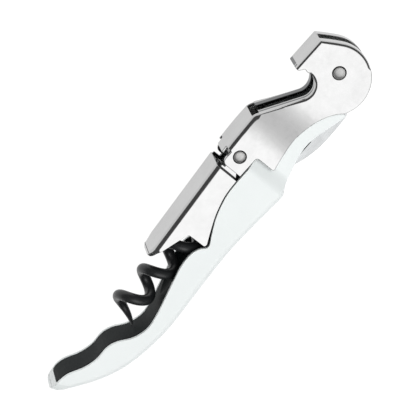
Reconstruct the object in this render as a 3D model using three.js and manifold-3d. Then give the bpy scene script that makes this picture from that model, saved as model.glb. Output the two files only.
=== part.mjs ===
// A two-stage lever corkscrew (waiter's corkscrew), folded shut and lying on its side.
// Millimetres. X runs along the tool from the tail to the head, Y from the handle's back to its
// open front, where the levers and the worm fold out, and Z across the thickness.
// The design is drawn with the head rivet at the origin and the middle plane at Z = 0; the
// finished group is then moved so that its box stands on Z = 0 and is centred on X and Y.
import * as THREE from "three";
import { mergeVertices } from "three/addons/utils/BufferGeometryUtils.js";
import Module from "manifold-3d";

const wasm = await Module();
wasm.setup();
const { Manifold, Mesh: SolidMesh } = wasm;

// ---------------------------------------------------------------- driving dimensions
const SHEET = 1.0; // steel sheet of the handle and both levers
const GAP = 0.3; // clearance between neighbouring pieces
const RUN = 0.08; // radial running clearance on the rivets
const WIDE = 6.0; // half the thickness at the handle, the knuckle and the second lever
const LEVER_HEAD = 4.8; // half the thickness of the first lever's head
const HANDLE_HEAD = LEVER_HEAD - SHEET - GAP; // half the thickness of the handle between its walls
const EAR = WIDE - SHEET - GAP; // half the thickness across the second lever's ears
const THROUGH = 20; // reaches past every piece

const KNUCKLE = new THREE.Vector2(-33.0, 5.3);
const WORM_PIN = new THREE.Vector2(-27.5, -1.1);
const TAIL_X = -113.3;
const CAP_INSIDE_X = -110.5; // inside face of the closed tail end
const SPINE_END_X = -32.4; // the closed back ends here, and the knife slot begins
const JOGGLE = { wide: -33.8, narrow: -29.8 }; // the handle narrows between these

const WIRE_RADIUS = 1.45;
const COIL_RADIUS = 3.15; // to the middle of the wire
const COIL_PITCH = 9.4;
const WORM_AXIS_Y = -0.85;
const WORM_TIP_X = -87.0;
const TIP_FLARE = 1.9; // the last half turn opens out by this much
const COIL_START_X = -40.5;

const HEAD_RIVET = { shank: 1.4, head: 1.7, end: LEVER_HEAD + 0.15, sink: 0.5 };
const KNUCKLE_RIVET = { shank: 1.25, head: 1.6, end: WIDE - 0.05, sink: 0.5 };
const WORM_RIVET = { shank: 1.1, head: 1.1, end: HANDLE_HEAD, sink: 0 };
const RIVET_RECESS = { radius: 0.85, depth: 0.5 };

// ---------------------------------------------------------------- finishes
const finish = (color, roughness, metalness) =>
  new THREE.MeshStandardMaterial({ color, roughness, metalness });
const whiteCoat = finish(0xeff2f1, 0.35, 0.0);
const chrome = finish(0xd8d8d8, 0.12, 1.0);
const steel = finish(0xb9b9b7, 0.35, 1.0);
const blackCoat = finish(0x1b1d1e, 0.4, 0.0);
const blackPlastic = finish(0x26292a, 0.6, 0.0);
const nylon = finish(0xe9e7df, 0.6, 0.0);

// ---------------------------------------------------------------- solids
function toSolid(geometry) {
  const bare = new THREE.BufferGeometry();
  bare.setAttribute("position", geometry.getAttribute("position"));
  if (geometry.index) bare.setIndex(geometry.index);
  const merged = mergeVertices(bare, 1e-4);
  const solidMesh = new SolidMesh({
    numProp: 3,
    vertProperties: new Float32Array(merged.attributes.position.array),
    triVerts: new Uint32Array(merged.index.array),
  });
  solidMesh.merge();
  return new Manifold(solidMesh);
}

function toGeometry(solid) {
  const { vertProperties, triVerts } = solid.getMesh();
  const geometry = new THREE.BufferGeometry();
  geometry.setAttribute("position", new THREE.BufferAttribute(new Float32Array(vertProperties), 3));
  geometry.setIndex(new THREE.BufferAttribute(new Uint32Array(triVerts), 1));
  geometry.computeVertexNormals();
  return geometry;
}

// A side outline (X, Y) given a thickness from z0 to z1.
function slab(shape, z0, z1, curveSegments = 8) {
  const options = { depth: z1 - z0, bevelEnabled: false, curveSegments };
  return toSolid(new THREE.ExtrudeGeometry(shape, options).translate(0, 0, z0));
}

// An outline in plan (X, Z) given a height along all of Y that the tool uses.
function plan(points) {
  const options = { depth: 2 * THROUGH, bevelEnabled: false };
  const geometry = new THREE.ExtrudeGeometry(new THREE.Shape(points), options);
  return toSolid(geometry.rotateX(Math.PI / 2).translate(0, THROUGH, 0));
}

function box(x0, x1, y0, y1, z0, z1) {
  const geometry = new THREE.BoxGeometry(x1 - x0, y1 - y0, z1 - z0);
  return toSolid(geometry.translate((x0 + x1) / 2, (y0 + y1) / 2, (z0 + z1) / 2));
}

// A round bar along Z at a point of the side view.
function bar(at, radius, z0, z1, sides = 32) {
  const geometry = new THREE.CylinderGeometry(radius, radius, z1 - z0, sides);
  return toSolid(geometry.rotateX(Math.PI / 2).translate(at.x, at.y, (z0 + z1) / 2));
}

// The plan outline of a piece that is symmetric about Z = 0: [x, half width] pairs from the tail.
function bothSides(pairs) {
  const near = pairs.map(([x, half]) => new THREE.Vector2(x, half));
  const far = pairs.map(([x, half]) => new THREE.Vector2(x, -half)).reverse();
  return far.concat(near);
}

const onCircle = (centre, radius, angle) =>
  new THREE.Vector2(centre.x + radius * Math.cos(angle), centre.y + radius * Math.sin(angle));
const inset = (pairs, by) => pairs.map(([x, half]) => [x, half - by]);
const points = (...pairs) => pairs.map(([x, y]) => new THREE.Vector2(x, y));
const smooth = (pairs, steps) => new THREE.SplineCurve(points(...pairs)).getPoints(steps);

// The same line moved sideways: to its left for a positive distance.
function moved(line, distance) {
  return line.map((point, i) => {
    const before = line[Math.max(i - 1, 0)];
    const after = line[Math.min(i + 1, line.length - 1)];
    const along = after.clone().sub(before).normalize();
    return new THREE.Vector2(point.x - along.y * distance, point.y + along.x * distance);
  });
}

// ---------------------------------------------------------------- handle
const HANDLE_FRONT = smooth(
  [
    [-38.6, 1.25], [-42.8, 0.9], [-46.7, -0.1], [-50.0, -1.35], [-53.6, -3.3], [-56.6, -4.9],
    [-58.6, -3.4], [-61.5, -2.6], [-66.0, -3.1], [-74.6, -5.6], [-79.6, -7.0], [-83.8, -7.6],
    [-88.0, -6.4], [-91.6, -3.8], [-94.6, -2.75], [-98.6, -2.8], [-102.4, -1.8], [-106.4, 0.3],
    [-109.2, 0.9],
  ],
  60,
);
const HANDLE_BACK = smooth(
  [
    [-112.0, -1.7], [-109.4, -3.1], [-106.2, -5.3], [-102.6, -7.6], [-98.8, -9.4], [-94.0, -11.0],
    [-87.0, -12.1], [-80.0, -12.4], [-72.0, -11.8], [-62.7, -11.0], [-53.6, -10.5],
    [-43.7, -10.8], [-35.0, -11.3],
  ],
  40,
);
const HANDLE_PLAN = [
  [TAIL_X, 2.0], [TAIL_X + 0.3, 3.0], [TAIL_X + 1.1, 4.3], [TAIL_X + 2.4, 5.4], [TAIL_X + 4.4, WIDE],
  [JOGGLE.wide, WIDE], [JOGGLE.narrow, HANDLE_HEAD], [THROUGH, HANDLE_HEAD],
];
const NOSE_RADIUS = 4.8;
const NOTCH = { x: -7.5, y: -4.1 }; // cut into the walls for the lever's web as it swings open
const HANDLE_HEAD_FRONT = points([-8.0, -1.2], [-13.0, -1.0], [-22.5, 1.25], [-33.8, 1.25]);
const HANDLE_HEAD_BACK = smooth(
  [[-31.6, -9.9], [-28.0, -8.9], [-24.7, -7.9], [-20.5, -7.2], [-16.5, -7.6], [-11.5, -9.0], [-7.6, -9.8]],
  16,
);

function handleOutline() {
  const shape = new THREE.Shape();
  shape.moveTo(TAIL_X, -0.2);
  shape.quadraticCurveTo(TAIL_X + 0.1, -1.2, HANDLE_BACK[0].x, HANDLE_BACK[0].y);
  HANDLE_BACK.slice(1).forEach((p) => shape.lineTo(p.x, p.y));
  shape.quadraticCurveTo(-33.0, -11.4, SPINE_END_X, -10.2);
  HANDLE_HEAD_BACK.forEach((p) => shape.lineTo(p.x, p.y));
  shape.lineTo(NOTCH.x, NOTCH.y);
  shape.absarc(0, 0, NOSE_RADIUS, -Math.PI - Math.asin(NOTCH.y / NOSE_RADIUS), 0.82 * Math.PI, false);
  HANDLE_HEAD_FRONT.forEach((p) => shape.lineTo(p.x, p.y));
  HANDLE_FRONT.forEach((p) => shape.lineTo(p.x, p.y));
  shape.lineTo(CAP_INSIDE_X, 0.8);
  shape.quadraticCurveTo(-113.0, 1.2, TAIL_X, 0.3);
  shape.closePath();
  return shape;
}

// The hollow between the walls: open in front all the way, and open behind at the knife slot.
function handleHollow() {
  const spine = moved(HANDLE_BACK, SHEET).filter((p) => p.x > CAP_INSIDE_X && p.x < SPINE_END_X);
  const outline = [
    ...points([CAP_INSIDE_X, THROUGH], [CAP_INSIDE_X, spine[0].y]),
    ...spine,
    ...points([SPINE_END_X, -10.3], [SPINE_END_X, -THROUGH], [THROUGH, -THROUGH], [THROUGH, THROUGH]),
  ];
  const side = slab(new THREE.Shape(outline), -THROUGH, THROUGH);
  return side.intersect(plan(bothSides(inset(HANDLE_PLAN, SHEET))));
}

function handleShell() {
  return slab(handleOutline(), -THROUGH, THROUGH)
    .intersect(plan(bothSides(HANDLE_PLAN)))
    .subtract(handleHollow())
    .subtract(bar({ x: 0, y: 0 }, HEAD_RIVET.shank + RUN, -THROUGH, THROUGH))
    .subtract(bar(WORM_PIN, WORM_RIVET.shank + RUN, -THROUGH, THROUGH));
}

// ---------------------------------------------------------------- grip liner
const LINER_HALF = WIDE - SHEET - GAP;
const LINER_START_X = -41.0;
const TROUGH_RADIUS = COIL_RADIUS + WIRE_RADIUS + 0.4;
const TROUGH_END_X = WORM_TIP_X - 1.6;
const UNDER_LEVER_Y = -4.9; // the liner stays this low beneath the second lever

function gripLiner() {
  const front = HANDLE_FRONT.filter((p) => p.x < -59).map((p) => p.clone());
  const spine = moved(HANDLE_BACK, SHEET + GAP);
  const inside = spine.filter((p) => p.x > CAP_INSIDE_X + GAP && p.x < LINER_START_X);
  const outline = [
    ...points([CAP_INSIDE_X + GAP, inside[0].y + 0.5]),
    ...inside,
    ...points([LINER_START_X, UNDER_LEVER_Y], [-57.6, UNDER_LEVER_Y]),
    ...front.filter((p) => p.x > CAP_INSIDE_X + GAP),
    ...points([CAP_INSIDE_X + GAP, front[front.length - 1].y]),
  ];
  const length = LINER_START_X + 2 - TROUGH_END_X;
  const trough = new THREE.CylinderGeometry(TROUGH_RADIUS, TROUGH_RADIUS, length, 36)
    .rotateZ(Math.PI / 2)
    .translate(TROUGH_END_X + length / 2, WORM_AXIS_Y, 0);
  return slab(new THREE.Shape(outline), -LINER_HALF, LINER_HALF)
    .intersect(plan(bothSides(inset(HANDLE_PLAN.slice(0, -2), SHEET + GAP))))
    .subtract(toSolid(trough))
    .subtract(box(TROUGH_END_X, LINER_START_X + 2, WORM_AXIS_Y, THROUGH, -THROUGH, THROUGH));
}

// ---------------------------------------------------------------- worm
const EYE_RADIUS = 3.0;
const COIL_TURNS = (COIL_START_X - WORM_TIP_X) / COIL_PITCH;
const LEFT_CREST_X = -82.3; // the last place where the wire crosses the front of the coil

// The middle line of the worm's wire: a straight shank that widens into a right-handed coil.
class WormLine extends THREE.Curve {
  getPoint(t, target = new THREE.Vector3()) {
    const shankStart = WORM_PIN.x - EYE_RADIUS + 0.6;
    const x = THREE.MathUtils.lerp(shankStart, WORM_TIP_X, t);
    const widening = THREE.MathUtils.smoothstep(COIL_START_X - x, -3.0, 4.6);
    const turn = (2 * Math.PI * (LEFT_CREST_X - x)) / COIL_PITCH;
    const y = THREE.MathUtils.lerp(WORM_PIN.y, WORM_AXIS_Y, widening);
    const flare = TIP_FLARE * THREE.MathUtils.smoothstep(LEFT_CREST_X - x, 0, LEFT_CREST_X - WORM_TIP_X);
    const radius = COIL_RADIUS * widening + flare;
    return target.set(x, y + radius * Math.cos(turn), -radius * Math.sin(turn));
  }
}

// A round wire along a curve, closed at both ends, with its radius given along the way.
function wire(curve, radiusAt, sides, steps) {
  const positions = [];
  const faces = [];
  const frames = curve.computeFrenetFrames(steps, false);
  for (let i = 0; i <= steps; i++) {
    const centre = curve.getPointAt(i / steps);
    const radius = radiusAt(i / steps);
    for (let k = 0; k < sides; k++) {
      const angle = (2 * Math.PI * k) / sides;
      const point = centre
        .clone()
        .addScaledVector(frames.normals[i], radius * Math.cos(angle))
        .addScaledVector(frames.binormals[i], radius * Math.sin(angle));
      positions.push(point.x, point.y, point.z);
    }
  }
  for (let i = 0; i < steps; i++) {
    for (let k = 0; k < sides; k++) {
      const a = i * sides + k;
      const b = i * sides + ((k + 1) % sides);
      faces.push(a, b, a + sides, b, b + sides, a + sides);
    }
  }
  const last = steps * sides;
  for (let k = 1; k < sides - 1; k++) {
    faces.push(0, k + 1, k, last, last + k, last + k + 1);
  }
  const geometry = new THREE.BufferGeometry();
  geometry.setAttribute("position", new THREE.Float32BufferAttribute(positions, 3));
  geometry.setIndex(faces);
  return toSolid(geometry);
}

function worm() {
  const curve = new WormLine();
  curve.arcLengthDivisions = 800;
  const taperStart = 0.94;
  const tipShare = 0.12;
  const radiusAt = (t) =>
    WIRE_RADIUS * THREE.MathUtils.mapLinear(Math.max(t, taperStart), taperStart, 1, 1, tipShare);
  const eye = bar(WORM_PIN, EYE_RADIUS, -WIRE_RADIUS, WIRE_RADIUS);
  const bore = bar(WORM_PIN, WORM_RIVET.shank + RUN, -THROUGH, THROUGH);
  return wire(curve, radiusAt, 10, Math.round(24 * COIL_TURNS)).add(eye).subtract(bore);
}

// ---------------------------------------------------------------- first lever
const HEAD_CENTRE = new THREE.Vector2(-2.1, -0.3); // the round head is a little off its rivet
const HEAD_RADIUS = 9.75;
const WEB_FROM = -0.63; // radians: the web runs round the head from here to the beak
const THROAT = { centre: new THREE.Vector2(-8.9, 5.6), radius: 3.9 };
const SLOPE = 32.5 * THREE.MathUtils.DEG2RAD; // the slotted edge between the throat and the plate
const BEAK = { tip: -6.4, corner: 3.3, top: 9.6 };
const FOOT_X = -30.4;
const PLATE = { start: -23.0, end: -35.3, tongue: 3.4, sides: -33.3 };
const FORK_END_X = -37.0;
const SLOT_HALF = 1.9; // half the width of the slot in the web
const LEVER_PLAN = [
  [-THROUGH * 3, WIDE], [-28.0, WIDE], [-24.0, 5.75], [-16.0, 5.05], [-12.0, LEVER_HEAD],
  [THROUGH, LEVER_HEAD],
];

function firstLeverOutline() {
  const tangentX = THROAT.centre.x - THROAT.radius * Math.sin(SLOPE);
  const tangentY = THROAT.centre.y - THROAT.radius * Math.cos(SLOPE);
  const slopeTopX = -20.8;
  const shape = new THREE.Shape();
  shape.moveTo(BEAK.tip, BEAK.top);
  shape.lineTo(BEAK.tip + 0.15, BEAK.top - SHEET);
  shape.lineTo(-4.9, 7.6);
  shape.absarc(THROAT.centre.x, THROAT.centre.y, THROAT.radius, 0.28, -Math.PI / 2 - SLOPE, true);
  shape.lineTo(slopeTopX, tangentY + (tangentX - slopeTopX) * Math.tan(SLOPE));
  shape.quadraticCurveTo(-21.7, 9.5, -23.0, 9.7);
  shape.quadraticCurveTo(-30.0, 9.6, PLATE.end, 9.1);
  shape.lineTo(PLATE.end, 8.0);
  shape.quadraticCurveTo(FORK_END_X, 8.0, FORK_END_X, 6.4);
  shape.lineTo(FORK_END_X, 1.6);
  shape.lineTo(FOOT_X - 0.8, 1.6);
  shape.quadraticCurveTo(FOOT_X, 1.6, FOOT_X, 0.8);
  shape.lineTo(FOOT_X, -3.7);
  shape.quadraticCurveTo(FOOT_X, -4.3, FOOT_X + 0.6, -4.2);
  shape.quadraticCurveTo(-24.5, -3.0, -20.5, -2.9);
  const nape = onCircle(HEAD_CENTRE, HEAD_RADIUS, -2.14);
  shape.quadraticCurveTo(-11.0, -4.0, nape.x, nape.y);
  shape.absarc(HEAD_CENTRE.x, HEAD_CENTRE.y, HEAD_RADIUS, -2.14, 0.5, false);
  shape.quadraticCurveTo(5.2, 6.7, BEAK.corner, BEAK.top);
  shape.closePath();
  return shape;
}

// What lies between the walls, behind the web: bounded by the beak's plate and the slotted edge.
function firstLeverHollow() {
  const inner = THROAT.radius + SHEET;
  const shape = new THREE.Shape();
  shape.moveTo(-THROUGH * 3, -THROUGH);
  shape.lineTo(THROUGH, -THROUGH);
  const webEnd = onCircle(HEAD_CENTRE, THROUGH, WEB_FROM);
  shape.lineTo(webEnd.x, webEnd.y);
  shape.absarc(HEAD_CENTRE.x, HEAD_CENTRE.y, HEAD_RADIUS - SHEET, WEB_FROM, 0.5, false);
  shape.quadraticCurveTo(4.3, 6.3, 2.7, BEAK.top - SHEET);
  shape.lineTo(-3.6, BEAK.top - SHEET);
  shape.absarc(THROAT.centre.x, THROAT.centre.y, inner, 0.5, -Math.PI / 2 - SLOPE, true);
  shape.lineTo(-21.5, 7.9);
  shape.quadraticCurveTo(-22.2, 8.75, -23.2, 8.75);
  shape.quadraticCurveTo(-30.0, 8.6, PLATE.end, 8.1);
  shape.lineTo(-THROUGH * 3, 8.1);
  shape.closePath();
  const side = slab(shape, -THROUGH, THROUGH);
  return side.intersect(plan(bothSides(inset(LEVER_PLAN, SHEET))));
}

// Openings in the web: a slot over the round head and along the throat and the slope, a wider gap
// above the plate, and a notch on each side of the tongue for the second lever's ears.
function firstLeverSlots() {
  const underBeak = BEAK.top - SHEET - 0.1;
  const nearEar = box(PLATE.end - 1, PLATE.sides, 8.0, THROUGH, PLATE.tongue, THROUGH);
  const farEar = box(PLATE.end - 1, PLATE.sides, 7.9, THROUGH, -(WIDE - SHEET), -PLATE.tongue);
  return box(BEAK.corner, THROUGH, -THROUGH, THROUGH, -SLOT_HALF, SLOT_HALF)
    .add(box(-22.0, -3.0, 0, underBeak, -SLOT_HALF, SLOT_HALF))
    .add(box(-22.0, -19.0, 0, THROUGH, -SLOT_HALF, SLOT_HALF))
    .add(box(PLATE.start, -21.2, 0, THROUGH, -4.0, 4.0))
    .add(nearEar)
    .add(farEar);
}

function firstLever() {
  return slab(firstLeverOutline(), -THROUGH, THROUGH, 14)
    .intersect(plan(bothSides(LEVER_PLAN)))
    .subtract(firstLeverHollow())
    .subtract(firstLeverSlots())
    .subtract(rivetHoles({ x: 0, y: 0 }, HEAD_RIVET, LEVER_HEAD))
    .subtract(rivetHoles(KNUCKLE, KNUCKLE_RIVET, WIDE));
}

// ---------------------------------------------------------------- second lever
const LEVER_TOP_X = -38.4; // the web ends here, and the walls run on as the neck
const NECK_X = -37.6;
const SECOND_END_X = -69.0;
const EAR_RADIUS = 2.6;
const EAR_STEP_X = -38.0; // the ears are pressed in from here on
const SECOND_FOOT_X = -57.3;
const SECOND_PLAN = [
  [-THROUGH * 4, WIDE], [LEVER_TOP_X - 0.05, WIDE], [EAR_STEP_X, EAR], [THROUGH, EAR],
];

function secondLeverOutline() {
  const shape = new THREE.Shape();
  shape.moveTo(LEVER_TOP_X, 8.55);
  shape.lineTo(-67.6, 5.6);
  shape.quadraticCurveTo(-68.8, 5.5, SECOND_END_X, 5.0);
  shape.lineTo(-68.4, 4.4);
  shape.lineTo(-66.6, 4.2);
  shape.lineTo(-58.2, 1.75);
  shape.quadraticCurveTo(SECOND_FOOT_X, 1.5, SECOND_FOOT_X, 0.9);
  shape.lineTo(SECOND_FOOT_X + 0.1, -3.7);
  shape.quadraticCurveTo(-57.0, -4.3, -56.2, -4.1);
  shape.splineThru(points([-54.0, -2.95], [-50.0, -1.0], [-46.7, 0.25], [-42.8, 1.25], [LEVER_TOP_X, 1.6]));
  shape.lineTo(-36.4, 3.0);
  shape.absarc(KNUCKLE.x, KNUCKLE.y, EAR_RADIUS, 1.2 * Math.PI, 0.9 * Math.PI, false);
  shape.lineTo(NECK_X, 6.1);
  shape.lineTo(NECK_X, 8.5);
  shape.closePath();
  return shape;
}

function secondLeverHollow() {
  const shape = new THREE.Shape();
  shape.moveTo(-THROUGH * 4, -THROUGH);
  shape.lineTo(THROUGH, -THROUGH);
  shape.lineTo(THROUGH, THROUGH);
  shape.lineTo(LEVER_TOP_X + 0.2, THROUGH);
  shape.lineTo(LEVER_TOP_X + 0.2, 7.5);
  shape.lineTo(-67.6, 4.6);
  shape.lineTo(-THROUGH * 4, 4.6);
  shape.closePath();
  const side = slab(shape, -THROUGH, THROUGH);
  return side.intersect(plan(bothSides(inset(SECOND_PLAN, SHEET))));
}

// The lower end of the web is a rounded tongue, so its corners are cut off in plan.
function tongueEnd() {
  const outline = [
    [SECOND_END_X, 2.4], [SECOND_END_X + 0.6, 3.9], [SECOND_END_X + 1.8, 5.2],
    [SECOND_END_X + 3.6, WIDE], [THROUGH, WIDE],
  ];
  return plan(bothSides(outline));
}

function secondLever() {
  return slab(secondLeverOutline(), -THROUGH, THROUGH, 10)
    .intersect(plan(bothSides(SECOND_PLAN)))
    .intersect(tongueEnd())
    .subtract(secondLeverHollow())
    .subtract(bar(KNUCKLE, KNUCKLE_RIVET.shank + RUN, -THROUGH, THROUGH));
}

// ---------------------------------------------------------------- rivets, pins and washers
// The clearance hole of a rivet and the seats for its two heads in the outer walls.
function rivetHoles(at, rivet, wallOutside) {
  const seat = wallOutside - rivet.sink - 0.1;
  return bar(at, rivet.shank + RUN, -THROUGH, THROUGH)
    .add(bar(at, rivet.head + RUN, seat, THROUGH))
    .add(bar(at, rivet.head + RUN, -THROUGH, -seat));
}

function rivetBody(at, rivet, wallOutside) {
  const under = wallOutside - rivet.sink;
  const body = bar(at, rivet.shank, -under, under)
    .add(bar(at, rivet.head, under - 0.01, rivet.end))
    .add(bar(at, rivet.head, -rivet.end, -under + 0.01));
  const floor = rivet.end - RIVET_RECESS.depth;
  return body
    .subtract(bar(at, RIVET_RECESS.radius, floor, THROUGH, 24))
    .subtract(bar(at, RIVET_RECESS.radius, -THROUGH, -floor, 24));
}

function ring(at, outer, bore, z0, z1) {
  return bar(at, outer, z0, z1).subtract(bar(at, bore, z0 - 1, z1 + 1));
}

// ---------------------------------------------------------------- foil knife
const BLADE_HALF = 0.6;
const TANG_RADIUS = 3.9;

function foilKnife() {
  const teeth = 15;
  const edgeFrom = new THREE.Vector2(-9.0, -4.4);
  const edgeTo = new THREE.Vector2(-28.2, -6.6);
  const shape = new THREE.Shape();
  shape.absarc(0, 0, TANG_RADIUS, 1.1 * Math.PI, 1.35 * Math.PI - 2 * Math.PI, true);
  shape.lineTo(-4.9, -6.5);
  shape.quadraticCurveTo(-5.6, -10.4, -8.4, -11.0);
  shape.quadraticCurveTo(-13.0, -11.35, -17.0, -11.25);
  shape.quadraticCurveTo(-24.0, -11.0, -30.4, -7.2);
  shape.lineTo(edgeTo.x, edgeTo.y);
  for (let tooth = 0; tooth < teeth; tooth++) {
    const valley = edgeTo.clone().lerp(edgeFrom, (tooth + 0.5) / teeth);
    const peak = edgeTo.clone().lerp(edgeFrom, (tooth + 1) / teeth);
    shape.lineTo(valley.x, valley.y - 0.4);
    shape.lineTo(peak.x, peak.y);
  }
  shape.lineTo(-6.0, -3.6);
  shape.closePath();
  return slab(shape, -BLADE_HALF, BLADE_HALF).subtract(
    bar({ x: 0, y: 0 }, HEAD_RIVET.shank + RUN, -THROUGH, THROUGH),
  );
}

// ---------------------------------------------------------------- the assembly
const tool = new THREE.Group();

function add(name, solid, material) {
  const mesh = new THREE.Mesh(toGeometry(solid), material);
  mesh.name = name;
  tool.add(mesh);
}

const PIVOT = new THREE.Vector2(0, 0);
const washerInside = BLADE_HALF + GAP;
const washerOutside = HANDLE_HEAD - SHEET - GAP;
const wormWasherInside = WIRE_RADIUS + GAP;

add("handle_shell", handleShell(), whiteCoat);
add("grip_liner", gripLiner(), blackPlastic);
add("worm", worm(), blackCoat);
add("worm_pin", bar(WORM_PIN, WORM_RIVET.shank, -WORM_RIVET.end, WORM_RIVET.end), steel);
add("first_lever", firstLever(), chrome);
add("second_lever", secondLever(), chrome);
add("head_rivet", rivetBody(PIVOT, HEAD_RIVET, LEVER_HEAD), steel);
add("knuckle_rivet", rivetBody(KNUCKLE, KNUCKLE_RIVET, WIDE), steel);
add(
  "knuckle_spacer",
  ring(KNUCKLE, 2.2, KNUCKLE_RIVET.shank + RUN, -(EAR - SHEET - GAP), EAR - SHEET - GAP),
  steel,
);
add("foil_knife", foilKnife(), steel);
for (const [side, sign] of [["left", 1], ["right", -1]]) {
  const across = (z0, z1) => [Math.min(sign * z0, sign * z1), Math.max(sign * z0, sign * z1)];
  const knifeWasher = ring(PIVOT, 3.4, HEAD_RIVET.shank + RUN, ...across(washerInside, washerOutside));
  const wormWasher = ring(WORM_PIN, 2.4, WORM_RIVET.shank + RUN, ...across(wormWasherInside, washerOutside));
  add(`knife_washer_${side}`, knifeWasher, nylon);
  add(`worm_washer_${side}`, wormWasher, nylon);
}

const bounds = new THREE.Box3().setFromObject(tool, true);
const middle = bounds.getCenter(new THREE.Vector3());
tool.position.set(-middle.x, -middle.y, -bounds.min.z);

export default tool;
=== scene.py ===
# %% [markdown]
# # A folding lever corkscrew
# The tool is folded shut and lies on its side: a white coated steel handle, a black liner with the
# worm in its trough, two chromed levers riveted to each other and to the handle, and a foil knife
# in the back of the head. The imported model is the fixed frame, and the pieces below are built
# around it.

# %% Load the frame
import math

import bmesh
import bpy
from mathutils import Matrix, Vector


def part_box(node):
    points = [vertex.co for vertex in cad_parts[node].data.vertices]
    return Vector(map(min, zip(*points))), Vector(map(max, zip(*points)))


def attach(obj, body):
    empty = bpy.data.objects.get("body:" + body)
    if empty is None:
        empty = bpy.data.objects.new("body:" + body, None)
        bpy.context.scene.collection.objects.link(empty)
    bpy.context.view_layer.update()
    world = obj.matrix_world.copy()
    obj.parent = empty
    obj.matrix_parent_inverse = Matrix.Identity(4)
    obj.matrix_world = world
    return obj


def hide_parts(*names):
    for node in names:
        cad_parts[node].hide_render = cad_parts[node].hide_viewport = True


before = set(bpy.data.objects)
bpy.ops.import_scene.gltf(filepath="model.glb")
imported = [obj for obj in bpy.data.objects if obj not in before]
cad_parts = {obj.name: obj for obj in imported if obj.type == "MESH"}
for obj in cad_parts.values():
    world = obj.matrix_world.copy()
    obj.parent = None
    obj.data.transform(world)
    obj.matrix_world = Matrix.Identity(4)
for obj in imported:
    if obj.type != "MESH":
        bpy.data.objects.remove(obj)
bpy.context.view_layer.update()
MM = 0.001
rivet_low, rivet_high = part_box("head_rivet")
PIVOT = (rivet_low + rivet_high) / 2
print("pieces in the frame:", len(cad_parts), "pivot of the head at", tuple(PIVOT))

# %% [markdown]
# ## Working in millimetres
# Small sheet-metal pieces are easiest to reason about in millimetres measured from the head rivet,
# with X along the tool, Y towards the open front and Z across it. Each mesh is built that way and
# is moved to its place in metres once, at the end, so that its object can stay at the origin.

# %% Sizes shared by the pieces
SHEET = 1.0  # steel sheet of the handle and both levers
WIDE = 6.0  # half the thickness of the tool
LEVER_HEAD = 4.8  # half the thickness of the first lever's head
HANDLE_HEAD = 3.5  # half the thickness of the handle's head
HEAD_RIVET = (0, 0)
KNUCKLE = (-33.0, 5.3)
WORM_PIN = (-27.5, -1.1)
HEAD_BORE = 1.5
KNUCKLE_BORE = 1.33
SEAT_DEPTH = 0.6  # how far a rivet's head sits in its wall
THROUGH = 20.0  # past the outside of every piece
print("head rivet, knuckle and worm pin at", HEAD_RIVET, KNUCKLE, WORM_PIN, "mm")


# %% Outline helpers
def quadratic(start, control, end, steps=8):
    """Points of a quadratic curve after its start."""
    line = []
    for i in range(1, steps + 1):
        t = i / steps
        a, b, c = (1 - t) ** 2, 2 * t * (1 - t), t * t
        line.append((a * start[0] + b * control[0] + c * end[0],
                     a * start[1] + b * control[1] + c * end[1]))
    return line


def arc(centre, radius, start, end, steps=16):
    """Points of an arc, with both of its ends."""
    angles = [start + (end - start) * i / steps for i in range(steps + 1)]
    return [(centre[0] + radius * math.cos(a), centre[1] + radius * math.sin(a)) for a in angles]


def smooth(knots, steps):
    """A smooth line through the knots, as a Catmull-Rom spline."""
    line = []
    spans = len(knots) - 1
    for i in range(steps + 1):
        position = spans * i / steps
        k = min(int(position), spans - 1)
        t = position - k
        p = [knots[min(max(k + j, 0), spans)] for j in (-1, 0, 1, 2)]
        point = []
        for axis in (0, 1):
            a, b, c, d = (q[axis] for q in p)
            v0, v1 = (c - a) / 2, (d - b) / 2
            point.append((2 * b - 2 * c + v0 + v1) * t**3
                         + (-3 * b + 3 * c - 2 * v0 - v1) * t**2 + v0 * t + b)
        line.append(tuple(point))
    return line


def moved(line, distance):
    """The same line moved to its left by the distance."""
    out = []
    for i, (x, y) in enumerate(line):
        before, after = line[max(i - 1, 0)], line[min(i + 1, len(line) - 1)]
        along = (Vector(after) - Vector(before)).normalized()
        out.append((x - along.y * distance, y + along.x * distance))
    return out


def half_at(table, x):
    """The half thickness at x, from [x, half] pairs sorted from the tail."""
    if x <= table[0][0]:
        return table[0][1]
    for (x0, h0), (x1, h1) in zip(table, table[1:]):
        if x <= x1:
            return h0 + (h1 - h0) * (x - x0) / (x1 - x0)
    return table[-1][1]


def eased(x0, h0, x1, h1, steps=10):
    """[x, half] pairs of a soft S-shaped step, as a press leaves it."""
    pairs = []
    for i in range(steps + 1):
        t = i / steps
        pairs.append((x0 + (x1 - x0) * t, h0 + (h1 - h0) * t * t * (3 - 2 * t)))
    return pairs


# %% Mesh helpers
MERGE = 0.004  # points closer than this become one
FLAT = math.radians(0.1)  # faces closer to one plane than this become one


def object_of(bm, name):
    """Turns a bmesh into an object in the scene."""
    mesh = bpy.data.meshes.new(name)
    bm.normal_update()
    bm.to_mesh(mesh)
    bm.free()
    made = bpy.data.objects.new(name, mesh)
    bpy.context.scene.collection.objects.link(made)
    return made


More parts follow.
